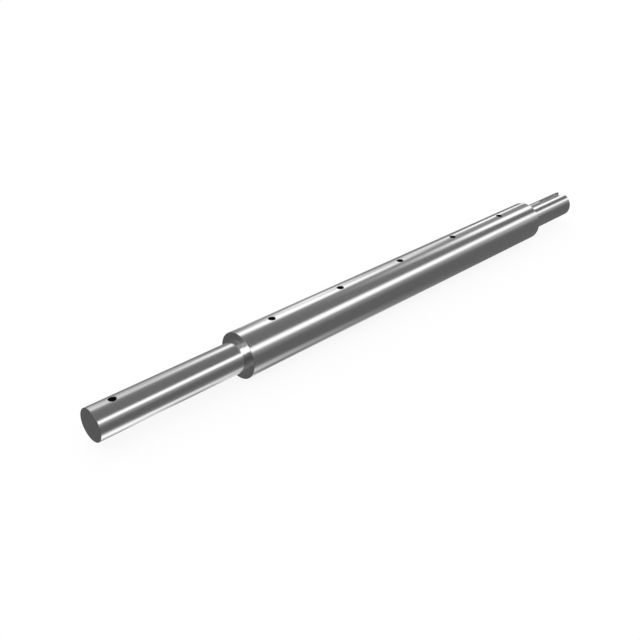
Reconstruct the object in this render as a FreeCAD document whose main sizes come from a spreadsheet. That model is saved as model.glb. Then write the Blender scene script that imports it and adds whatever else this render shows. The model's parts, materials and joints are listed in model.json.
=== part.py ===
"""Auger shaft: one turned steel bar with a long plain journal, a thick body and a keyed drive stub.

The shaft lies along +X with +Z up, and the origin is the centre of the journal's end face.
A row of cross holes goes straight down through the body and one more goes through the journal.
The keyway is cut in the top of the stub, in line with the holes. Lengths are in millimetres.
"""

import FreeCAD, Part
import Sketcher
import os

from FreeCAD import Placement, Rotation, Vector

PARTS_FOLDER = "parts"
NODE = "auger_shaft"
SHEET = "sizes"

# The driving dimensions. Each is written once, here, and everything else is bound to them.
SIZES = {
    "journal_dia": 25.4,
    "journal_len": 127.0,
    "body_dia": 38.1,
    "body_len": 387.35,
    "stub_dia": 25.4,
    "stub_len": 71.4375,
    "edge_break": 0.2,
    "shoulder_radius": 0.2,
    "body_hole_dia": 5.55625,
    "body_hole_first": 34.925,
    "body_hole_pitch": 76.2,
    "body_hole_count": 5,
    "journal_hole_dia": 5.55625,
    "journal_hole_inset": 18.25,
    "hole_mouth_break": 0.4,
    "keyway_width": 6.35,
    "keyway_depth": 3.175,
    "keyway_len": 41.275,
}

# Stations along the shaft, as expressions on the sheet
BODY_START = f"{SHEET}.journal_len"
BODY_END = f"{BODY_START} + {SHEET}.body_len"
SHAFT_END = f"{BODY_END} + {SHEET}.stub_len"

# Sketcher's own numbers: an edge's points are counted from 1, and the two axes count down from -1
START, END, CENTRE = range(1, 4)
H_AXIS, V_AXIS = range(-1, -3, -1)
ORIGIN = (H_AXIS, START)

# How near an edge has to be to its place for the script to take it, and the smallest real cut
EDGE_TOLERANCE = 1e-4
LEAST_CUT = 1.0


def make_sheet(doc):
    """The spreadsheet with one plain number in each cell, under a plain name."""
    sheet = doc.addObject("Spreadsheet::Sheet", SHEET)
    for row, (name, value) in enumerate(SIZES.items(), start=1):
        sheet.set(f"A{row}", name)
        sheet.set(f"B{row}", str(value))
        sheet.setAlias(f"B{row}", name)
    doc.recompute()
    return sheet


def origin_feature(body, role):
    """One of the body's own origin planes or axes."""
    return next(item for item in body.Origin.OriginFeatures if item.Role == role)


def new_sketch(body, name, plane, offset=None):
    """A sketch on one of the body's origin planes, moved along X, Y or Z by an expression."""
    sketch = body.newObject("Sketcher::SketchObject", name)
    sketch.AttachmentSupport = [(origin_feature(body, plane), "")]
    sketch.MapMode = "FlatFace"
    if offset is not None:
        direction, expression = offset
        sketch.AttachmentOffset = Placement(Vector(0, 0, 0), Rotation())
        sketch.setExpression(f"AttachmentOffset.Base.{direction}", expression)
    return sketch


def constrain(sketch, kind, *places):
    """Add one constraint and return its number."""
    return sketch.addConstraint(Sketcher.Constraint(kind, *places))


def dimension(sketch, name, kind, first, second, expression):
    """A named distance from the first point to the second, bound to an expression on the sheet.

    It starts at the distance as drawn, so that the outline keeps its shape while it is built up.
    """
    drawn = sketch.getPoint(*second) - sketch.getPoint(*first)
    distance = drawn.x if kind == "DistanceX" else drawn.y
    number = constrain(sketch, kind, *first, *second, distance)
    sketch.renameConstraint(number, name)
    sketch.setExpression(f"Constraints.{name}", expression)


def closed_outline(sketch, corners):
    """Straight edges round the corners, joined end to end. Edge n starts at corner n."""
    ends = corners[1:] + corners[:1]
    for corner, following in zip(corners, ends):
        sketch.addGeometry(Part.LineSegment(Vector(*corner, 0), Vector(*following, 0)), False)
    count = len(corners)
    for edge in range(count):
        constrain(sketch, "Coincident", edge, END, (edge + 1) % count, START)


def circle_edges(feature, stations):
    """The names of the feature's full circles at the stated (x, radius) places."""
    names = []
    for x, radius in stations:
        for number, edge in enumerate(feature.Shape.Edges, start=1):
            curve = edge.Curve
            if not isinstance(curve, Part.Circle):
                continue
            near = abs(curve.Center.x - x) < EDGE_TOLERANCE
            if near and abs(curve.Radius - radius) < EDGE_TOLERANCE:
                names.append(f"Edge{number}")
    if len(names) != len(stations):
        raise RuntimeError(f"{feature.Name}: found {len(names)} of {len(stations)} edges")
    return names


def turned_blank(body):
    """The bar as it comes off the lathe: half its outline, turned round the X axis.

    The outline lies flat, on the XY plane, so the seam of the round runs along the side
    of the shaft and clear of the holes and the keyway.
    """
    body_start = SIZES["journal_len"]
    body_end = body_start + SIZES["body_len"]
    shaft_end = body_end + SIZES["stub_len"]
    journal = SIZES["journal_dia"] / 2
    thick = SIZES["body_dia"] / 2
    stub = SIZES["stub_dia"] / 2

    sketch = new_sketch(body, "shaft_outline", "XY_Plane")
    closed_outline(sketch, [
        (0, 0),
        (0, journal),
        (body_start, journal),
        (body_start, thick),
        (body_end, thick),
        (body_end, stub),
        (shaft_end, stub),
        (shaft_end, 0),
    ])
    for face in (0, 2, 4, 6):
        constrain(sketch, "Vertical", face)
    for side in (1, 3, 5, 7):
        constrain(sketch, "Horizontal", side)
    constrain(sketch, "Coincident", 0, START, *ORIGIN)
    dimension(sketch, "journal_radius", "DistanceY", ORIGIN, (1, START), f"{SHEET}.journal_dia / 2")
    dimension(sketch, "body_radius", "DistanceY", ORIGIN, (3, START), f"{SHEET}.body_dia / 2")
    dimension(sketch, "stub_radius", "DistanceY", ORIGIN, (5, START), f"{SHEET}.stub_dia / 2")
    dimension(sketch, "journal_length", "DistanceX", (1, START), (1, END), f"{SHEET}.journal_len")
    dimension(sketch, "body_length", "DistanceX", (3, START), (3, END), f"{SHEET}.body_len")
    dimension(sketch, "stub_length", "DistanceX", (5, START), (5, END), f"{SHEET}.stub_len")

    blank = body.newObject("PartDesign::Revolution", "turned_blank")
    blank.Profile = sketch
    blank.ReferenceAxis = (sketch, ["H_Axis"])
    blank.Angle = 360
    body.Document.recompute()

    # The root radius that the turning tool leaves in each shoulder's inner corner
    roots = body.newObject("PartDesign::Fillet", "shoulder_roots")
    roots.Base = (blank, circle_edges(blank, [(body_start, journal), (body_end, stub)]))
    roots.setExpression("Radius", f"{SHEET}.shoulder_radius")
    body.Document.recompute()

    # The small break on each sharp outer edge
    corners = [(0, journal), (body_start, thick), (body_end, thick), (shaft_end, stub)]
    breaks = body.newObject("PartDesign::Chamfer", "edge_breaks")
    breaks.Base = (roots, circle_edges(roots, corners))
    breaks.setExpression("Size", f"{SHEET}.edge_break")
    body.Document.recompute()
    return breaks


def cross_hole(body, name, station, seat, bore):
    """A hole drilled straight down through the shaft's axis, with both its mouths broken at 45 degrees.

    It is one half outline turned round the drill's own axis. The station is where it is drilled,
    and seat and bore name the diameters of the round that it goes through and of the drill.
    """
    drill = SIZES[bore] / 2
    skin = SIZES[seat] / 2
    mouth = SIZES["hole_mouth_break"]
    top = skin + mouth
    wide = drill + 2 * mouth

    sketch = new_sketch(body, f"{name}_outline", "XZ_Plane", ("x", station))
    closed_outline(sketch, [
        (0, -top),
        (wide, -top),
        (drill, mouth - skin),
        (drill, skin - mouth),
        (wide, top),
        (0, top),
    ])
    constrain(sketch, "PointOnObject", 0, START, V_AXIS)
    constrain(sketch, "PointOnObject", 5, START, V_AXIS)
    constrain(sketch, "Horizontal", 0)
    constrain(sketch, "Horizontal", 4)
    constrain(sketch, "Symmetric", 1, START, 4, START, H_AXIS)
    constrain(sketch, "Symmetric", 2, START, 3, START, H_AXIS)
    mouth_name = f"{SHEET}.hole_mouth_break"
    skin_name = f"{SHEET}.{seat} / 2"
    drill_name = f"{SHEET}.{bore} / 2"
    dimension(sketch, "drill_radius", "DistanceX", ORIGIN, (3, START), drill_name)
    dimension(sketch, "mouth_start", "DistanceY", ORIGIN, (3, START), f"{skin_name} - {mouth_name}")
    dimension(sketch, "mouth_radius", "DistanceX", ORIGIN, (4, START), f"{drill_name} + 2 * {mouth_name}")
    dimension(sketch, "mouth_end", "DistanceY", ORIGIN, (4, START), f"{skin_name} + {mouth_name}")

    hole = body.newObject("PartDesign::Groove", name)
    hole.Profile = sketch
    hole.ReferenceAxis = (sketch, ["V_Axis"])
    hole.Angle = 360
    body.Document.recompute()
    return hole


def hole_row(body, first):
    """The first body hole, repeated along the shaft at even steps."""
    row = body.newObject("PartDesign::LinearPattern", "body_holes")
    row.Originals = [first]
    row.Direction = (origin_feature(body, "X_Axis"), [""])
    row.Mode = "Spacing"
    row.setExpression("Offset", f"{SHEET}.body_hole_pitch")
    row.setExpression("Occurrences", f"{SHEET}.body_hole_count")
    body.Tip = row
    body.Document.recompute()
    return row


def keyway(body):
    """The keyway in the top of the stub: open at the shaft's end, round where the cutter stopped."""
    half = SIZES["keyway_width"] / 2
    shaft_end = SIZES["journal_len"] + SIZES["body_len"] + SIZES["stub_len"]
    blind = shaft_end - SIZES["keyway_len"] + half
    clear = shaft_end + half

    # The floor lies keyway_depth below the edge where the keyway's side meets the round
    corner = f"sqrt(({SHEET}.stub_dia / 2) ^ 2 - ({SHEET}.keyway_width / 2) ^ 2)"
    sketch = new_sketch(body, "keyway_outline", "XY_Plane", ("z", f"{corner} - {SHEET}.keyway_depth"))
    upper, mouth, lower, cutter = range(4)
    sketch.addGeometry(Part.LineSegment(Vector(blind, half, 0), Vector(clear, half, 0)), False)
    sketch.addGeometry(Part.LineSegment(Vector(clear, half, 0), Vector(clear, -half, 0)), False)
    sketch.addGeometry(Part.LineSegment(Vector(clear, -half, 0), Vector(blind, -half, 0)), False)
    arc = Part.Arc(Vector(blind, half, 0), Vector(blind - half, 0, 0), Vector(blind, -half, 0))
    sketch.addGeometry(arc, False)
    constrain(sketch, "Coincident", upper, END, mouth, START)
    constrain(sketch, "Coincident", mouth, END, lower, START)
    constrain(sketch, "Tangent", upper, START, cutter, START)
    constrain(sketch, "Tangent", lower, END, cutter, END)
    constrain(sketch, "Horizontal", upper)
    constrain(sketch, "Horizontal", lower)
    constrain(sketch, "Vertical", mouth)
    constrain(sketch, "PointOnObject", cutter, CENTRE, H_AXIS)
    blind_name = f"{SHAFT_END} - {SHEET}.keyway_len + {SHEET}.keyway_width / 2"
    clear_name = f"{SHAFT_END} + {SHEET}.keyway_width / 2"
    dimension(sketch, "cutter_radius", "DistanceY", ORIGIN, (upper, START), f"{SHEET}.keyway_width / 2")
    dimension(sketch, "cutter_centre", "DistanceX", ORIGIN, (cutter, CENTRE), blind_name)
    dimension(sketch, "open_end", "DistanceX", ORIGIN, (mouth, START), clear_name)

    slot = body.newObject("PartDesign::Pocket", "keyway")
    slot.Profile = sketch
    slot.Type = "ThroughAll"
    slot.Reversed = True
    body.Document.recompute()
    return slot


def must_cut(before, after):
    """Stop unless the step took metal away."""
    lost = before.Shape.Volume - after.Shape.Volume
    if lost < LEAST_CUT:
        raise RuntimeError(f"{after.Name} cuts nothing")
    print(f"{after.Name}: cuts {lost:.1f} mm3")


def auger_shaft(doc):
    """The whole shaft, in the order in which it is made."""
    body = doc.addObject("PartDesign::Body", NODE)
    body.Label = NODE
    turned = turned_blank(body)
    first = cross_hole(
        body,
        "first_body_hole",
        f"{BODY_START} + {SHEET}.body_hole_first",
        "body_dia",
        "body_hole_dia",
    )
    must_cut(turned, first)
    row = hole_row(body, first)
    must_cut(first, row)
    pin_hole = cross_hole(
        body,
        "journal_hole",
        f"{SHEET}.journal_hole_inset",
        "journal_dia",
        "journal_hole_dia",
    )
    must_cut(row, pin_hole)
    slot = keyway(body)
    must_cut(pin_hole, slot)
    body.Tip = slot
    doc.recompute()
    return body


def check_document(doc, bodies):
    """Stop if an object failed or a shape is missing or broken."""
    for item in doc.Objects:
        bad = [word for word in item.State if word in ("Invalid", "Error")]
        if bad:
            raise RuntimeError(f"{item.Name} is {bad}")
    for body in bodies:
        shape = body.Shape
        if shape.isNull() or not shape.isValid() or len(shape.Solids) != 1:
            raise RuntimeError(f"{body.Label} is not one valid solid")


def write_parts(bodies):
    """One STEP file for each body, named after its label."""
    os.makedirs(PARTS_FOLDER, exist_ok=True)
    for body in bodies:
        shape = body.Shape
        shape.exportStep(os.path.join(PARTS_FOLDER, f"{body.Label}.step"))
        box = shape.BoundBox
        size = f"{box.XLength:.2f} x {box.YLength:.2f} x {box.ZLength:.2f} mm"
        print(f"{body.Label}: {size}, {shape.Volume:.0f} mm3, {len(shape.Faces)} faces")


def main():
    doc = FreeCAD.newDocument("auger_shaft_model")
    make_sheet(doc)
    bodies = [auger_shaft(doc)]
    check_document(doc, bodies)
    write_parts(bodies)


main()
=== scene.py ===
# %% [markdown]
# An auger shaft is one steel bar, turned on a lathe. It has a long plain journal at one end, a thick
# body with a row of cross holes, and a short drive stub with a keyway at the other end.
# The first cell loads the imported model. The places and radii of later cells are read from it, so a
# change to the model carries through to this scene.

# %% Load the frame
import json
import math

import bmesh
import bpy
from mathutils import Matrix, Vector


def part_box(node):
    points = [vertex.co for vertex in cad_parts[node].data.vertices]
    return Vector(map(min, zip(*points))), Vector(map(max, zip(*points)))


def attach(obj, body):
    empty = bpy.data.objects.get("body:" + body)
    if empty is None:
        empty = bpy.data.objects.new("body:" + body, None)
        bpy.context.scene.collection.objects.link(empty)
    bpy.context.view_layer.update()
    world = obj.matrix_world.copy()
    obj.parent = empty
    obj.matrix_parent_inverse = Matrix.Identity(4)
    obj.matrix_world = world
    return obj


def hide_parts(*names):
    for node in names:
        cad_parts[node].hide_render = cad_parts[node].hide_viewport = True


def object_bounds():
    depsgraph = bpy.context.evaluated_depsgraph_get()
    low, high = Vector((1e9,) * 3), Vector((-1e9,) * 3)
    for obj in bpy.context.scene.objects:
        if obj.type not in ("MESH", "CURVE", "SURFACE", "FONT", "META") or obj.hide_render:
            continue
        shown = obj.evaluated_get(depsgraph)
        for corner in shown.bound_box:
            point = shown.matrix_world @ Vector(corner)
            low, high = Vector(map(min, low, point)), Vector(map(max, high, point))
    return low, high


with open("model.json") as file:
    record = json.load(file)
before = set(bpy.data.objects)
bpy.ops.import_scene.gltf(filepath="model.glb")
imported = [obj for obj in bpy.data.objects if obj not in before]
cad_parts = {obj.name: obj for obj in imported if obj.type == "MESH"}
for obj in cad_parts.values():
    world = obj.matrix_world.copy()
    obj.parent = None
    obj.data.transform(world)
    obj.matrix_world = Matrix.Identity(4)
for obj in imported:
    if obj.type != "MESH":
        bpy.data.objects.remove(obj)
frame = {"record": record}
cad_low, cad_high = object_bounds()

NODE = "auger_shaft"
MM = 0.001

print("the bar measures", [round(size / MM, 2) for size in cad_high - cad_low], "mm")

# %% [markdown]
# The record names each place where the shaft meets another part, with its position and its radius.
# The turned outline needs those, and a few small sizes that no mount holds, so they are written here:
# the broken edges, the root radius in each shoulder and the width and length of the keyway.

# %% Read the sizes
mounts = {mount["name"]: mount for mount in frame["record"]["mounts"]}


def place(name):
    """Where a mount is, in metres."""
    return Vector(mounts[name]["pos_m"])


def radius(name):
    """The radius of a pin or a bore, in metres."""
    return mounts[name]["dims"]["r_mm"] * MM


JOURNAL_RADIUS = radius("journal")
BODY_RADIUS = radius("body_seat")
STUB_RADIUS = radius("drive_stub")
BODY_START = place("journal_shoulder").x
BODY_END = place("drive_shoulder").x
SHAFT_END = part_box(NODE)[1].x

EDGE_BREAK = 0.2 * MM
ROOT_RADIUS = 0.2 * MM
MOUTH_BREAK = 0.4 * MM
KEYWAY_WIDTH = 6.35 * MM
KEYWAY_LENGTH = 41.275 * MM
KEYWAY_FLOOR = place("keyway_floor").z

HOLES = [
    (place(name).x, radius(name), JOURNAL_RADIUS if name.startswith("journal") else BODY_RADIUS)
    for name, mount in mounts.items()
    if mount["kind"] == "bore"
]

print(len(HOLES), "cross holes, at x =", [round(x / MM, 2) for x, _, _ in HOLES], "mm")

# %% [markdown]
# A lathe makes a shape by turning an outline round an axis, and the spin operator does the same.
# Three cylinders would show the same steps, but not the small cone on each edge or the small curve in
# each root. Here they are part of the outline, which is eight points, half of the bar's section. A
# bevel with one segment breaks its outer corners, and one with several rounds its inner corners.
# Two hundred and fifty-six steps round the bar are so fine that its reflections show no flats.
# The spin operator stores its points and faces in another order each time. They are sorted by their
# places, so that every run of this script makes the same mesh.

# %% Turn the bar
SIDES = 256
ROOT_STEPS = 6
RING_GAP = 6 * MM
ROOT_GAP = 0.5 * MM

AXIS = Vector((1, 0, 0))
ORIGIN = Vector((0, 0, 0))
MERGE_DISTANCE = 1e-7
FULL_TURN = 2 * math.pi


def round_corners(bm, corners, size, segments):
    """Bevel some points of an outline: one segment is a flat, several are an arc."""
    bmesh.ops.bevel(
        bm,
        geom=corners,
        offset=size,
        offset_type="OFFSET",
        segments=segments,
        profile=0.5,
        affect="VERTICES",
        material=-1,
    )


def in_order(bm):
    """Sort the points and the faces by their places."""
    places = [
        (bm.verts, lambda vert: tuple(vert.co)),
        (bm.faces, lambda face: tuple(face.calc_center_median())),
    ]
    for items, where in places:
        for number, item in enumerate(sorted(items, key=where)):
            item.index = number
        items.sort()


def spin_round(bm, centre, axis, steps):
    """Turn everything in the mesh a full turn round an axis and close the seam and the poles."""
    bmesh.ops.spin(
        bm,
        geom=bm.verts[:] + bm.edges[:],
        cent=centre,
        axis=axis,
        angle=FULL_TURN,
        steps=steps,
        use_merge=True,
    )
    bmesh.ops.remove_doubles(bm, verts=bm.verts[:], dist=MERGE_DISTANCE)
    bmesh.ops.recalc_face_normals(bm, faces=bm.faces[:])
    in_order(bm)


def outline(bm, points):
    """A chain of edges through the points. Returns its vertices."""
    chain = [bm.verts.new(point) for point in points]
    for first, second in zip(chain, chain[1:]):
        bm.edges.new((first, second))
    return chain


def cut_ring(bm, x):
    """An extra ring of edges round the bar, at one station."""
    geometry = bm.verts[:] + bm.edges[:] + bm.faces[:]
    bmesh.ops.bisect_plane(bm, geom=geometry, dist=MERGE_DISTANCE, plane_co=(x, 0, 0), plane_no=AXIS)


turned = bmesh.new()
_, near_edge, near_root, near_step, far_step, far_root, far_edge, _ = outline(turned, [
    (0, 0, 0),
    (0, JOURNAL_RADIUS, 0),
    (BODY_START, JOURNAL_RADIUS, 0),
    (BODY_START, BODY_RADIUS, 0),
    (BODY_END, BODY_RADIUS, 0),
    (BODY_END, STUB_RADIUS, 0),
    (SHAFT_END, STUB_RADIUS, 0),
    (SHAFT_END, 0, 0),
])
round_corners(turned, [near_edge, near_step, far_step, far_edge], EDGE_BREAK, 1)
round_corners(turned, [near_root, far_root], ROOT_RADIUS, ROOT_STEPS)
spin_round(turned, ORIGIN, AXIS, SIDES)
for x, _, _ in HOLES:
    cut_ring(turned, x - RING_GAP)
    cut_ring(turned, x + RING_GAP)
cut_ring(turned, BODY_START - ROOT_GAP)
cut_ring(turned, BODY_END + ROOT_GAP)
in_order(turned)

print("the turned bar has", len(turned.faces), "faces")

# %% [markdown]
# Each cross hole is drilled straight through, and both of its mouths are broken at 45 degrees. A plain
# cylinder would cut the hole and leave its mouths sharp. So the drill is turned like the bar, from half
# of its own outline, but round an upright axis. It reaches one break's height above the skin, where
# its cone is wider than the hole by two breaks all round.

# %% Shape the drills
DRILL_SIDES = 64


def drill(x, bore, skin):
    """The metal that one cross hole takes away, with a cone at each mouth."""
    bm = bmesh.new()
    wide = bore + 2 * MOUTH_BREAK
    top = skin + MOUTH_BREAK
    start = skin - MOUTH_BREAK
    outline(bm, [
        (x, 0, -top),
        (x + wide, 0, -top),
        (x + bore, 0, -start),
        (x + bore, 0, start),
        (x + wide, 0, top),
        (x, 0, top),
    ])
    spin_round(bm, (x, 0, 0), (0, 0, 1), DRILL_SIDES)
    return bm


drills = [drill(x, bore, skin) for x, bore, skin in HOLES]

print(len(drills), "drills, with", len(drills[0].faces), "faces each")

# %% [markdown]
# The keyway was milled with a cutter as wide as the slot, so its blind end is half a round, which a
# plain box would leave square. Its floor plan is a spun arc and three straight sides, filled and
# pulled up.

# %% Shape the keyway cutter
CUTTER_STEPS = 32
CUTTER_HEIGHT = STUB_RADIUS


def keyway_cutter():
    """The metal that the keyway takes away. It runs out past the end of the stub."""
    bm = bmesh.new()
    half = KEYWAY_WIDTH / 2
    blind = SHAFT_END - KEYWAY_LENGTH + half
    clear = SHAFT_END + half
    upper = bm.verts.new((clear, half, KEYWAY_FLOOR))
    turn = bm.verts.new((blind, half, KEYWAY_FLOOR))
    bm.edges.new((upper, turn))
    arc = bmesh.ops.spin(
        bm,
        geom=[turn],
        cent=(blind, 0, KEYWAY_FLOOR),
        axis=(0, 0, 1),
        angle=math.pi,
        steps=CUTTER_STEPS,
    )
    last = next(item for item in arc["geom_last"] if isinstance(item, bmesh.types.BMVert))
    lower = bm.verts.new((clear, -half, KEYWAY_FLOOR))
    bm.edges.new((last, lower))
    bm.edges.new((lower, upper))
    base = bmesh.ops.edgeloop_fill(bm, edges=bm.edges[:])["faces"]
    pulled = bmesh.ops.extrude_face_region(bm, geom=base, use_keep_orig=True)["geom"]
    top = [item for item in pulled if isinstance(item, bmesh.types.BMVert)]
    bmesh.ops.translate(bm, verts=top, vec=(0, 0, CUTTER_HEIGHT))
    bmesh.ops.recalc_face_normals(bm, faces=bm.faces[:])
    in_order(bm)
    return bm


keyway = keyway_cutter()

print("the keyway cutter has", len(keyway.faces), "faces")

# %% [markdown]
# The cuts are made with one Boolean modifier for each cutter. Each cutter carries the number of the
# finish that it leaves behind, so a drilled wall or a milled floor gets its own material slot. The
# turned bar's own faces get theirs from the tilt of their normals to the axis: flat ends and shoulders
# are faced, and the cones at 45 degrees are broken edges.
# The rings on both sides of each hole keep the cut faces short, and that keeps their shading clean.

# %% Cut the holes and the keyway
TURNED, FACED, BROKEN, DRILLED, MILLED = range(5)
FINISHES = [
    bpy.data.materials.new(name)
    for name in ("turned", "faced", "broken", "drilled", "milled")
]
FINISH_BY_TILT = {0: FACED, 45: BROKEN, 135: BROKEN, 180: FACED}
SHARP_ANGLE = math.radians(30)


def as_object(name, bm, materials):
    """A mesh object made from a bmesh, with these materials in its slots."""
    mesh = bpy.data.meshes.new(name)
    bm.to_mesh(mesh)
    bm.free()
    for material in materials:
        mesh.materials.append(material)
    made = bpy.data.objects.new(name, mesh)
    bpy.context.scene.collection.objects.link(made)
    return made


def cut_away(piece, bm, finish):
    """Take one cutter's shape out of the piece."""
    for face in bm.faces:
        face.material_index = finish
    cutter = as_object("cutter", bm, FINISHES)
    modifier = piece.modifiers.new("cut", "BOOLEAN")
    modifier.operation = "DIFFERENCE"
    modifier.solver = "EXACT"
    modifier.object = cutter
    depsgraph = bpy.context.evaluated_depsgraph_get()
    result = bpy.data.meshes.new_from_object(piece.evaluated_get(depsgraph))
    piece.modifiers.clear()
    piece.data = result
    bpy.data.objects.remove(cutter)


for face in turned.faces:
    tilt = round(math.degrees(AXIS.angle(face.normal)))
    face.material_index = FINISH_BY_TILT.get(tilt, TURNED)

shaft = as_object("turned_shaft", turned, FINISHES)
for hole in drills:
    cut_away(shaft, hole, DRILLED)
cut_away(shaft, keyway, MILLED)

finished = bmesh.new()
finished.from_mesh(shaft.data)
bmesh.ops.remove_doubles(finished, verts=finished.verts[:], dist=MERGE_DISTANCE)
for face in finished.faces:
    face.smooth = True
for edge in finished.edges:
    edge.smooth = edge.is_manifold and edge.calc_face_angle() < SHARP_ANGLE
open_edges = sum(not edge.is_manifold for edge in finished.edges)
volume = finished.calc_volume(signed=True)
finished.to_mesh(shaft.data)
finished.free()

print("the cut shaft has", len(shaft.data.polygons), "faces and", open_edges, "open edges")
print("its volume is", round(volume / MM**3), "cubic millimetres")

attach(shaft, "root")
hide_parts(NODE)

# %% [markdown]
# A shader is a chain of nodes, and its arithmetic is easier to read as Python. The first class wraps a
# node's output, so that adding or multiplying two outputs adds the Math node that does it. The second
# one holds the nodes of a material or of the world and adds to them.

# %% Shader maths
class Signal:
    """A node's output. Arithmetic on it adds Math nodes to the same tree."""

    def __init__(self, tree, socket):
        self.tree = tree
        self.socket = socket

    def __add__(self, other):
        return self.tree.math("ADD", self, other)

    def __radd__(self, other):
        return self.tree.math("ADD", other, self)

    def __sub__(self, other):
        return self.tree.math("SUBTRACT", self, other)

    def __rsub__(self, other):
        return self.tree.math("SUBTRACT", other, self)

    def __mul__(self, other):
        return self.tree.math("MULTIPLY", self, other)

    def __rmul__(self, other):
        return self.tree.math("MULTIPLY", other, self)


class Tree:
    """The nodes of a material or of the world, empty but for the output."""

    def __init__(self, owner, output):
        owner.use_nodes = True
        self.nodes = owner.node_tree.nodes
        self.links = owner.node_tree.links
        self.nodes.clear()
        self.output = self.nodes.new(output)

    def feed(self, socket, value):
        """Link a signal to an input, or set the input's own value."""
        if isinstance(value, Signal):
            self.links.new(value.socket, socket)
        else:
            socket.default_value = value

    def add(self, kind, settings=None, values=None, out=0):
        """One node: its settings first, then its inputs by name or number."""
        node = self.nodes.new(kind)
        for name, setting in (settings or {}).items():
            setattr(node, name, setting)
        for name, value in (values or {}).items():
            self.feed(node.inputs[name], value)
        return Signal(self, node.outputs[out])

    def math(self, operation, *values):
        """One Math node on these values, in order."""
        return self.add("ShaderNodeMath", {"operation": operation}, dict(enumerate(values)))

    def finish(self, shader):
        """Send a shader to the output's surface."""
        self.feed(self.output.inputs["Surface"], shader)


print("a signal takes +, - and *, and each adds one Math node")

# %% [markdown]
# What makes bright steel look machined is what the tools left: rings round the bar from the lathe,
# circles on the faced ends, rings down each hole from the drill and lines across the keyway from the
# cutter. A picture of brushed metal would have to be stretched over every face, so each kind of mark
# is a noise pattern instead, squeezed in one direction: the coordinate that crosses the marks is
# divided by their pitch. A second, broad pattern gives the soft patches of a handled surface.

# %% The tool marks
OBJECT_COORDINATES = 3
MARK_LENGTH = 30 * MM
MARK_DETAIL = 2.0
PATCH_SIZE = 45 * MM
PATCH_DETAIL = 3.0


def position(tree):
    """The three Object coordinates, in metres."""
    point = tree.add("ShaderNodeTexCoord", out=OBJECT_COORDINATES)
    return [tree.add("ShaderNodeSeparateXYZ", None, {0: point}, out=axis) for axis in range(3)]


def along_bar(tree):
    """How far along the bar a point is."""
    return position(tree)[0]


def up_hole(tree):
    """How high a point is, for the marks down a hole."""
    return position(tree)[2]


def from_axis(tree):
    """How far a point is from the bar's axis."""
    _, y, z = position(tree)
    return tree.math("SQRT", y * y + z * z)


def marks(tree, across, pitch):
    """Tool marks from 0 to 1: fine lines that cross one coordinate and fade along their own length."""
    x, y, z = (axis * (1 / MARK_LENGTH) for axis in position(tree))
    vector = tree.add("ShaderNodeCombineXYZ", None, {0: across * (1 / pitch) + x, 1: y, 2: z})
    values = {"Vector": vector, "Scale": 1.0, "Detail": MARK_DETAIL}
    return tree.add("ShaderNodeTexNoise", None, values)


def patches(tree):
    """A broad soft pattern from 0 to 1."""
    point = tree.add("ShaderNodeTexCoord", out=OBJECT_COORDINATES)
    values = {"Vector": point, "Scale": 1 / PATCH_SIZE, "Detail": PATCH_DETAIL}
    return tree.add("ShaderNodeTexNoise", None, values)


print("the marks fade over", round(MARK_LENGTH / MM), "mm, the patches are", round(PATCH_SIZE / MM), "mm")

# %% [markdown]
# Bright steel is almost a mirror: metallic, with a low roughness. The five finishes differ in how well
# they shine. The turned skin and the faced ends are the brightest and the milled keyway is a little
# duller. The broken edges and the drilled holes are rough, and their dark tints are painted shade: near
# black in the holes and their mouths, dark grey on the edges, where it takes away their highlight. In
# each, the marks make the bump, the marks and the patches shift the roughness a little, and the
# patches shift the tint.

# %% The steel finishes
BRIGHT_STEEL = (0.62, 0.62, 0.62, 1)
WORN_STEEL = (0.57, 0.57, 0.57, 1)
# Painted shade: the drilled walls and the mouths of the holes are near black, for the shade inside the
# holes.
DRILLED_PAINTED_SHADE = (0.06, 0.06, 0.06, 1)
DRILLED_PAINTED_SHADE_DARKER = (0.03, 0.03, 0.03, 1)
MILLED_STEEL = (0.49, 0.49, 0.49, 1)
MILLED_WORN = (0.45, 0.45, 0.45, 1)
# Painted shade: the broken edges are dark grey, in place of the highlight they would catch.
BROKEN_EDGE_PAINTED_SHADE = (0.30, 0.30, 0.30, 1)
BROKEN_EDGE_PAINTED_SHADE_DARKER = (0.26, 0.26, 0.26, 1)

MIX_FIRST_COLOUR = 6
MIX_SECOND_COLOUR = 7
MIXED_COLOUR = 2
NOISE_MIDDLE = 0.5
MARK_ROUGHNESS = 0.05
PATCH_ROUGHNESS = 0.04


def steel(finish, bright, dull, roughness, across, pitch, depth):
    """One finish: two tints, a roughness, and marks of a pitch and a depth in metres."""
    tree = Tree(FINISHES[finish], "ShaderNodeOutputMaterial")
    lines = marks(tree, across(tree), pitch)
    broad = patches(tree)
    tint = tree.add(
        "ShaderNodeMix",
        {"data_type": "RGBA"},
        {"Factor": broad, MIX_FIRST_COLOUR: bright, MIX_SECOND_COLOUR: dull},
        out=MIXED_COLOUR,
    )
    bump = tree.add("ShaderNodeBump", None, {"Height": lines, "Distance": depth, "Strength": 1.0})
    line_shift = (lines - NOISE_MIDDLE) * MARK_ROUGHNESS
    patch_shift = (broad - NOISE_MIDDLE) * PATCH_ROUGHNESS
    shader = tree.add(
        "ShaderNodeBsdfPrincipled",
        None,
        {
            "Base Color": tint,
            "Metallic": 1.0,
            "Roughness": roughness + line_shift + patch_shift,
            "Normal": bump,
        },
    )
    tree.finish(shader)


steel(
    TURNED, BRIGHT_STEEL, WORN_STEEL,
    roughness=0.18, across=along_bar, pitch=0.12 * MM, depth=0.0004 * MM,
)
steel(
    FACED, BRIGHT_STEEL, WORN_STEEL,
    roughness=0.14, across=from_axis, pitch=0.12 * MM, depth=0.0004 * MM,
)
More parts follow.
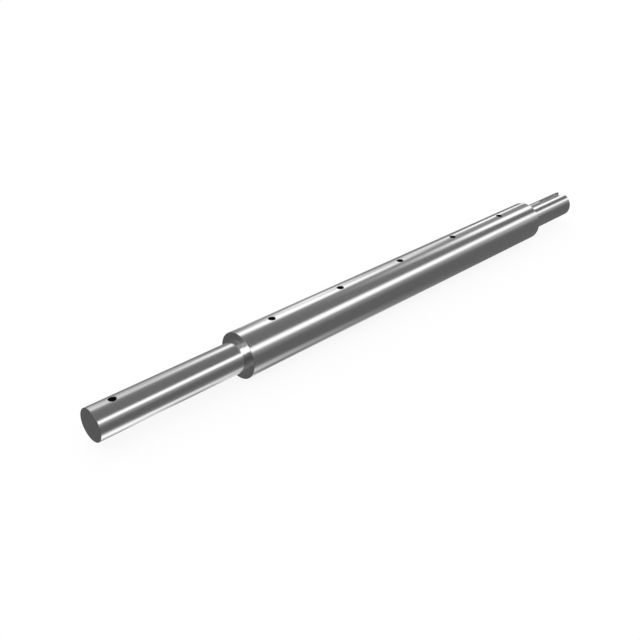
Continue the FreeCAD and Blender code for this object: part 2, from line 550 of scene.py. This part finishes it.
# The broken edges' dark grey tints are painted shade.
steel(
    BROKEN, BROKEN_EDGE_PAINTED_SHADE, BROKEN_EDGE_PAINTED_SHADE_DARKER,
    roughness=0.45, across=from_axis, pitch=0.12 * MM, depth=0.0004 * MM,
)
# The drilled walls' near black tints are painted shade inside the holes.
steel(
    DRILLED, DRILLED_PAINTED_SHADE, DRILLED_PAINTED_SHADE_DARKER,
    roughness=0.42, across=up_hole, pitch=0.2 * MM, depth=0.002 * MM,
)
steel(
    MILLED, MILLED_STEEL, MILLED_WORN,
    roughness=0.22, across=along_bar, pitch=0.4 * MM, depth=0.001 * MM,
)

print("finishes:", [finish.name for finish in FINISHES])

# %% [markdown]
# A mirror shows what stands round it, so a polished bar is lit with cards, as in a product studio. The
# white room is the background, at a strength of 1 for the camera and for reflections alike. Later
# cells close a ring of grey cards round the bar, which put dark bands along it, and hang light boxes
# in front of them, which put white ones. Only reflections see the cards, so they throw no shadow.
# The floor shows to the camera, with the bar's own shadow. It is hidden from reflections, because it
# lies so close that it would turn the whole underside white.

# %% The white room
ROOM_LIGHT = 1.1
WHITE = (1, 1, 1, 1)
FLOOR_WHITE = (0.95, 0.95, 0.95, 1)
FLOOR_GLOW = 0.88
FLOOR_HALF = 8.0
FLOOR_LEVEL = cad_low.z


def seen(tree):
    """1 for the rays that show the background: from the camera, in a reflection or through glass."""
    path = tree.nodes.new("ShaderNodeLightPath")
    names = ("Is Camera Ray", "Is Glossy Ray", "Is Transmission Ray")
    camera, glossy, through = (Signal(tree, path.outputs[name]) for name in names)
    return tree.math("MAXIMUM", tree.math("MAXIMUM", camera, glossy), through)


world = bpy.data.worlds.new("room")
bpy.context.scene.world = world
room = Tree(world, "ShaderNodeOutputWorld")
strength = ROOM_LIGHT + seen(room) * (1 - ROOM_LIGHT)
room.finish(room.add("ShaderNodeBackground", None, {"Color": WHITE, "Strength": strength}))

white = bpy.data.materials.new("white_floor")
sheet = Tree(white, "ShaderNodeOutputMaterial")
matte = sheet.add("ShaderNodeBsdfDiffuse", None, {"Color": FLOOR_WHITE})
glow = sheet.add("ShaderNodeEmission", None, {"Color": WHITE, "Strength": 1.0})
factor = seen(sheet) * FLOOR_GLOW
sheet.finish(sheet.add("ShaderNodeMixShader", None, {0: factor, 1: matte, 2: glow}))
white.cycles.emission_sampling = "NONE"


def stage_mesh(name, bm, material):
    """A floor or a card: a mesh object of its own, not attached to the shaft."""
    made = as_object(name, bm, [material])
    return made


plane = bmesh.new()
bmesh.ops.create_grid(plane, x_segments=1, y_segments=1, size=FLOOR_HALF)
bmesh.ops.translate(plane, verts=plane.verts[:], vec=(0, 0, FLOOR_LEVEL))
floor = stage_mesh("floor", plane, white)
floor.visible_glossy = False

print("the floor is at z =", round(FLOOR_LEVEL / MM, 2), "mm")

# %% [markdown]
# The cards are placed round the bar by clock angles, as seen along it: 0 is level behind it, 90 is
# straight overhead, 180 is level in front and 270 is straight below. The sheet that makes them all is a
# grid whose points are moved into place. Lamps could light plain cards, but each card would then need
# its own, so each point carries a brightness instead. That way a card can fade from one edge to the
# other and along the bar, as a real one does when a lamp lights it from one side.

# %% A sheet that glows
MIDDLE = SHAFT_END / 2
GRID_SIZE = 1.0
ATTRIBUTE_FACTOR = 2


def glowing(name, see_through):
    """A surface as bright as its points say. It shows in reflections and isn't sampled as a lamp."""
    material = bpy.data.materials.new(name)
    tree = Tree(material, "ShaderNodeOutputMaterial")
    settings = {"attribute_name": "brightness"}
    brightness = tree.add("ShaderNodeAttribute", settings, out=ATTRIBUTE_FACTOR)
    shader = tree.add("ShaderNodeEmission", None, {"Color": WHITE, "Strength": brightness})
    if see_through:
        clear = tree.add("ShaderNodeBsdfTransparent")
        shader = tree.add("ShaderNodeAddShader", None, {0: shader, 1: clear})
    tree.finish(shader)
    material.cycles.emission_sampling = "NONE"
    return material


CARD_FINISH = glowing("card", see_through=False)
BOX_FINISH = glowing("light_box", see_through=True)


def glowing_sheet(name, rows, columns, shape, material):
    """A grid whose points get a place and a brightness from their row and from -1 to 1 across it."""
    bm = bmesh.new()
    brightness = bm.verts.layers.float.new("brightness")
    bmesh.ops.create_grid(bm, x_segments=rows, y_segments=columns, size=GRID_SIZE)
    for vert in bm.verts:
        row = round((vert.co.x / GRID_SIZE + 1) / 2 * rows)
        vert.co, vert[brightness] = shape(row, vert.co.y / GRID_SIZE)
    card = stage_mesh(name, bm, material)
    card.visible_camera = False
    card.visible_diffuse = False
    card.visible_shadow = False
    card.visible_transmission = False
    card.visible_volume_scatter = False


def clock(along, angle, distance):
    """A point at a clock angle round the bar, with its place along it counted from the middle."""
    turn = math.radians(angle)
    return Vector((MIDDLE + along, distance * math.cos(turn), distance * math.sin(turn)))


print("the sheets' finishes:", CARD_FINISH.name, "and", BOX_FINISH.name)

# %% [markdown]
# The wall is one grey card that goes over the bar from behind to in front. It is what puts the grey and
# dark bands on the steel, so each of its rows has a brightness for each of a few clock angles. It is
# lighter behind the bar than above it and in front, and dimmer towards the left end, which only the
# flat faces mirror in this view. It is eight metres long each way, so that a camera that looks along
# the bar sees it too.

# %% The grey wall
WALL_DISTANCE = 1.0
WALL_END = 8.0
WALL_STEP = 5
WALL_ANGLES = (-1, 12, 45, 60, 72, 84, 105, 125, 150, 184)
WALL_ROWS = [
    (-WALL_END, (0.15, 0.18, 0.24, 0.25, 0.23, 0.22, 0.22, 0.21, 0.21, 0.18)),
    (-0.4, (0.15, 0.18, 0.24, 0.25, 0.23, 0.22, 0.22, 0.21, 0.21, 0.18)),
    (0.0, (0.29, 0.29, 0.37, 0.35, 0.31, 0.24, 0.22, 0.21, 0.21, 0.18)),
    (0.7, (0.29, 0.29, 0.37, 0.35, 0.31, 0.24, 0.23, 0.22, 0.21, 0.18)),
    (1.0, (0.28, 0.28, 0.37, 0.35, 0.31, 0.26, 0.26, 0.23, 0.21, 0.18)),
    (1.4, (0.22, 0.22, 0.37, 0.35, 0.31, 0.24, 0.20, 0.21, 0.22, 0.18)),
    (1.75, (0.23, 0.23, 0.35, 0.33, 0.29, 0.22, 0.16, 0.19, 0.21, 0.18)),
    (WALL_END, (0.23, 0.23, 0.35, 0.33, 0.29, 0.22, 0.16, 0.19, 0.21, 0.18)),
]


def graded(levels, angle):
    """The brightness at a clock angle between the (angle, brightness) levels, in a straight line."""
    for (low, dim), (high, bright) in zip(levels, levels[1:]):
        if angle <= high:
            return dim + (bright - dim) * (angle - low) / (high - low)
    return levels[-1][1]


def grey_card(name, rows, columns):
    """A card round the bar, from rows of a place along it and its (angle, brightness) levels."""
    first = rows[0][1][0][0]
    last = rows[0][1][-1][0]

    def shape(row, across):
        along, levels = rows[row]
        angle = first + (last - first) * (across + 1) / 2
        return clock(along, angle, WALL_DISTANCE), graded(levels, angle)

    glowing_sheet(name, len(rows) - 1, columns, shape, CARD_FINISH)


wall_rows = [(along, list(zip(WALL_ANGLES, brightness))) for along, brightness in WALL_ROWS]
wall_columns = (WALL_ANGLES[-1] - WALL_ANGLES[0]) // WALL_STEP
grey_card("wall", wall_rows, wall_columns)

print("the wall has", len(wall_rows), "rows and", wall_columns, "columns")

# %% [markdown]
# Light boxes hang in front of the wall and put the white stripes on the steel. Each is bright in its
# middle and fades to nothing at its edges, so the stripes have soft edges. It may rise, sink, widen
# and dim along the bar, so it is a list of stations, counted from the middle of the bar.
# Three boxes are made twice, to the right and to the left. The two behind the bar start just left of
# the middle, and their left halves have stations of their own, dimmer where only the shoulder's face
# would mirror them. The step box and the step fill are the lights on that face.

# %% The light boxes
BOX_DISTANCE = 0.95
BOX_COLUMNS = 16
FADE = 1.5


def faded(across):
    """1 in the middle of a light box and 0 at its edges."""
    return (1 - across * across) ** FADE


def light_box(name, side, stations):
    """A light box, from stations of (along, clock angle, half its width, brightness)."""

    def shape(row, across):
        along, angle, half, peak = stations[row]
        point = clock(side * along, angle + half * across, BOX_DISTANCE)
        return point, peak * faded(across)

    glowing_sheet(name, len(stations) - 1, BOX_COLUMNS, shape, BOX_FINISH)


def light_boxes(boxes):
    """Light boxes from a table of (name, side, stations). The side is 1 for right and -1 for left."""
    for name, side, stations in boxes:
        light_box(name, side, stations)
    print(len(boxes), "light boxes:", [name for name, _, _ in boxes])


BACK_BOX = [
    (-0.08, 46, 22, 0),
    (0.02, 46, 22, 0.95),
    (0.10, 46, 22, 0.78),
    (0.14, 46, 22, 0.67),
    (0.20, 46, 22, 0.63),
    (0.25, 46, 21, 0.68),
    (0.29, 46, 21, 0.87),
    (0.45, 47, 20, 1.6),
    (0.60, 47, 19, 1.7),
    (0.85, 46, 16, 1.4),
    (1.00, 43, 15, 0.7),
    (1.15, 41, 15, 0),
]
LOW_BOX = [
    (-0.08, 22, 16, 0),
    (0.02, 22, 16, 0.75),
    (0.11, 22, 16, 0.45),
    (0.15, 22, 16, 0.29),
    (0.23, 22, 16, 0.42),
    (0.29, 23, 15.5, 0.30),
    (0.38, 24, 15, 0.06),
    (0.46, 24, 15, 0.12),
    (0.50, 23, 16, 0.55),
    (0.57, 21, 16, 0.95),
    (0.67, 19.5, 16, 1.35),
    (0.85, 23, 15, 0.45),
    (1.14, 26, 13, 1.15),
    (1.32, 24, 12, 2.0),
    (1.58, 20.5, 12, 0.95),
    (1.70, 20, 12, 0),
]
BACK_BOX_LEFT = [
    (0.10, 46, 22, 0.65),
    (0.25, 46, 21, 0.85),
    (0.45, 47, 20, 0.3),
    (0.60, 47, 19, 0.1),
    (0.95, 46, 16, 0.1),
    (1.15, 43, 15, 0.9),
    (1.35, 41, 15, 0),
]
LOW_BOX_LEFT = [
    (0.12, 22, 16, 0.45),
    (0.25, 22, 16, 0.6),
    (0.38, 24, 15, 0.1),
    (0.95, 26, 15, 0.05),
    (1.14, 27, 13, 0.95),
    (1.32, 24.5, 12, 1.8),
    (1.58, 20.5, 12, 1.0),
    (1.70, 20, 12, 0),
]
TOP_BOX = [
    (0.70, 80, 12, 0.05),
    (0.85, 80, 14, 0.15),
    (1.00, 79, 15, 0.5),
    (1.15, 80, 15, 1.0),
    (1.32, 79, 16, 2.1),
    (1.58, 79.5, 17, 2.0),
    (1.72, 77, 14.5, 1.7),
    (WALL_END, 75.5, 14.5, 1.6),
]
FRONT_BOX = [
    (0.00, 149, 12.8, 1.8),
    (0.50, 143.5, 16, 1.8),
    (1.00, 138.8, 16, 1.7),
    (1.32, 134.4, 15.2, 1.65),
    (1.60, 131, 15, 1.6),
    (1.80, 131.5, 13.8, 1.6),
    (WALL_END, 131.5, 13.8, 1.6),
]
FRONT_FILL = [
    (0.00, 163, 20, 0.22),
    (0.70, 160, 18, 0.14),
    (1.00, 157, 17, 0.18),
    (1.40, 153, 16, 0.38),
    (1.65, 152, 16, 0.3),
    (1.85, 152, 16, 0.1),
    (WALL_END, 152, 16, 0.1),
]
STEP_BOX = [
    (0.20, 126, 27, 0),
    (0.30, 126, 27, 4.0),
    (0.95, 126, 27, 4.0),
    (1.20, 126, 27, 0),
]
STEP_FILL = [
    (0.45, 86, 26, 0),
    (0.60, 86, 26, 0.6),
    (0.95, 86, 26, 0.6),
    (1.20, 86, 26, 0),
]

light_boxes([
    ("top_box_right", 1, TOP_BOX),
    ("front_box_right", 1, FRONT_BOX),
    ("front_fill_right", 1, FRONT_FILL),
    ("top_box_left", -1, TOP_BOX),
    ("front_box_left", -1, FRONT_BOX),
    ("front_fill_left", -1, FRONT_FILL),
    ("back_box_right", 1, BACK_BOX),
    ("low_box_right", 1, LOW_BOX),
    ("back_box_left", -1, BACK_BOX_LEFT),
    ("low_box_left", -1, LOW_BOX_LEFT),
    ("step_box", -1, STEP_BOX),
    ("step_fill", -1, STEP_FILL),
])

# %% [markdown]
# The ring of cards closes below the bar, where reflections would otherwise see the white room. The
# card at the front is one plain dark grey. The card at the back is lighter towards the wall's edge,
# and it has a share for each place along the bar, by which its brightness is multiplied. It is
# brightest where the body's far edge mirrors it, just past the shoulder.

# %% The cards below
LOW_COLUMNS = 40
LOW_FRONT = [(184, 0.18), (316, 0.18)]
LOW_BACK = [(316, 0.145), (333, 0.143), (339, 0.18), (345, 0.235), (351, 0.29), (359, 0.29)]
FRONT_SHARES = [(-WALL_END, 1), (WALL_END, 1)]
BACK_SHARES = [
    (-WALL_END, 1.0),
    (0.46, 1.0),
    (0.495, 3.0),
    (0.525, 2.3),
    (0.585, 1.8),
    (0.70, 1.5),
    (0.85, 1.12),
    (1.00, 1.0),
    (1.14, 0.98),
    (1.32, 0.84),
    (1.58, 0.79),
    (1.72, 0.81),
    (1.82, 0.88),
    (WALL_END, 0.88),
]


def low_card(name, levels, shares):
    """A card below the bar, from its (angle, brightness) levels and its (along, share) places."""
    rows = [
        (along, [(angle, share * brightness) for angle, brightness in levels])
        for along, share in shares
    ]
    grey_card(name, rows, LOW_COLUMNS)


low_card("low_front_card", LOW_FRONT, FRONT_SHARES)
low_card("low_back_card", LOW_BACK, BACK_SHARES)

print("the cards below go from", LOW_FRONT[0][0], "to", LOW_BACK[-1][0], "degrees")

# %% [markdown]
# Four light boxes hang in front of the cards below. The front low box and the under box put the broad
# light band along the journal's lower side, and they fade out under the body. The under box dips and
# rises on the way, most of all where the journal meets the shoulder. The toe box lifts the dark band
# above that light one a little. The corner box is to the left, where only the flat faces mirror it, and
# lights the corner between the journal and the shoulder.

# %% The boxes below
FRONT_LOW_BOX = [
    (0.00, 251.5, 27, 1.6),
    (0.127, 251.5, 27, 1.6),
    (0.164, 252, 24.5, 1.45),
    (0.206, 251.5, 22, 1.38),
    (0.263, 251.5, 23, 1.25),
    (0.32, 252, 23, 1.12),
    (0.377, 250.5, 23, 0.95),
    (0.391, 250, 23, 0.87),
    (0.42, 249, 23, 0.82),
    (0.434, 248, 24, 0.8),
    (0.448, 247.5, 23, 0.66),
    (0.482, 246.5, 22.5, 0.6),
    (0.548, 248, 23, 0.43),
    (0.633, 250, 24, 0.29),
    (0.804, 256, 27, 0.12),
    (0.946, 260, 27, 0.07),
    (1.09, 262, 28, 0.04),
    (1.26, 265, 28, 0),
]
UNDER_BOX = [
    (0.00, 278, 28, 0.5),
    (0.127, 279, 28, 0.5),
    (0.164, 290, 34, 0.85),
    (0.206, 296, 31, 1.1),
    (0.235, 296, 31, 0.65),
    (0.263, 293, 32, 0.3),
    (0.32, 290, 31, 0.3),
    (0.343, 287, 27, 0.5),
    (0.363, 285, 25, 0.95),
    (0.377, 285, 25, 1.15),
    (0.391, 285, 25, 1.3),
    (0.405, 286, 24, 1.2),
    (0.42, 289, 22, 0.75),
    (0.44, 298, 21, 0.6),
    (0.454, 306, 21, 0.8),
    (0.468, 308, 21, 1.2),
    (0.482, 306, 22, 1.1),
    (0.548, 303, 26, 0.98),
    (0.633, 301, 28, 0.84),
    (0.804, 300, 28, 0.63),
    (0.946, 300, 28, 0.34),
    (1.09, 300, 28, 0.16),
    (1.32, 300, 28, 0),
]
TOE_BOX = [
    (0.00, 223, 12, 0.08),
    (0.42, 223, 12, 0.08),
    (0.46, 223, 12, 0),
]
CORNER_BOX = [
    (0.45, 250, 40, 0),
    (0.60, 250, 40, 0.25),
    (1.00, 250, 40, 0.25),
    (1.20, 250, 40, 0),
]

light_boxes([
    ("front_low_box", 1, FRONT_LOW_BOX),
    ("under_box", 1, UNDER_BOX),
    ("toe_box", 1, TOE_BOX),
    ("corner_box", -1, CORNER_BOX),
])

# %% [markdown]
# The camera looks down along the bar from beside its journal end. Its place, direction and lens come
# from fitting the bar's known sizes to a picture, so they are plain numbers here.

# %% The camera
CAMERA_PLACE = Vector((-209.2, -421.7, 334.2)) * MM
CAMERA_AZIMUTH = math.radians(45.16)
CAMERA_DOWN = math.radians(29.41)
CAMERA_ROLL = math.radians(-0.82)
FOCAL_PIXELS = 831.2
IMAGE_PIXELS = 640
SENSOR_MM = 36.0
NEAREST_SEEN = 0.01
FARTHEST_SEEN = 50.0

forward = Vector((
    math.sin(CAMERA_AZIMUTH) * math.cos(CAMERA_DOWN),
    math.cos(CAMERA_AZIMUTH) * math.cos(CAMERA_DOWN),
    -math.sin(CAMERA_DOWN),
))
level_right = forward.cross(Vector((0, 0, 1))).normalized()
level_up = level_right.cross(forward)
right = level_right * math.cos(CAMERA_ROLL) - level_up * math.sin(CAMERA_ROLL)
up = level_up * math.cos(CAMERA_ROLL) + level_right * math.sin(CAMERA_ROLL)

lens = bpy.data.cameras.new("camera")
lens.sensor_width = SENSOR_MM
lens.lens = FOCAL_PIXELS / IMAGE_PIXELS * SENSOR_MM
lens.clip_start = NEAREST_SEEN
lens.clip_end = FARTHEST_SEEN
camera = bpy.data.objects.new("camera", lens)
bpy.context.scene.collection.objects.link(camera)
facing = Matrix((right, up, -forward)).transposed()
camera.matrix_world = Matrix.Translation(CAMERA_PLACE) @ facing.to_4x4()
bpy.context.scene.camera = camera
bpy.context.scene.view_settings.view_transform = "Standard"

print("the lens is", round(lens.lens, 2), "mm")
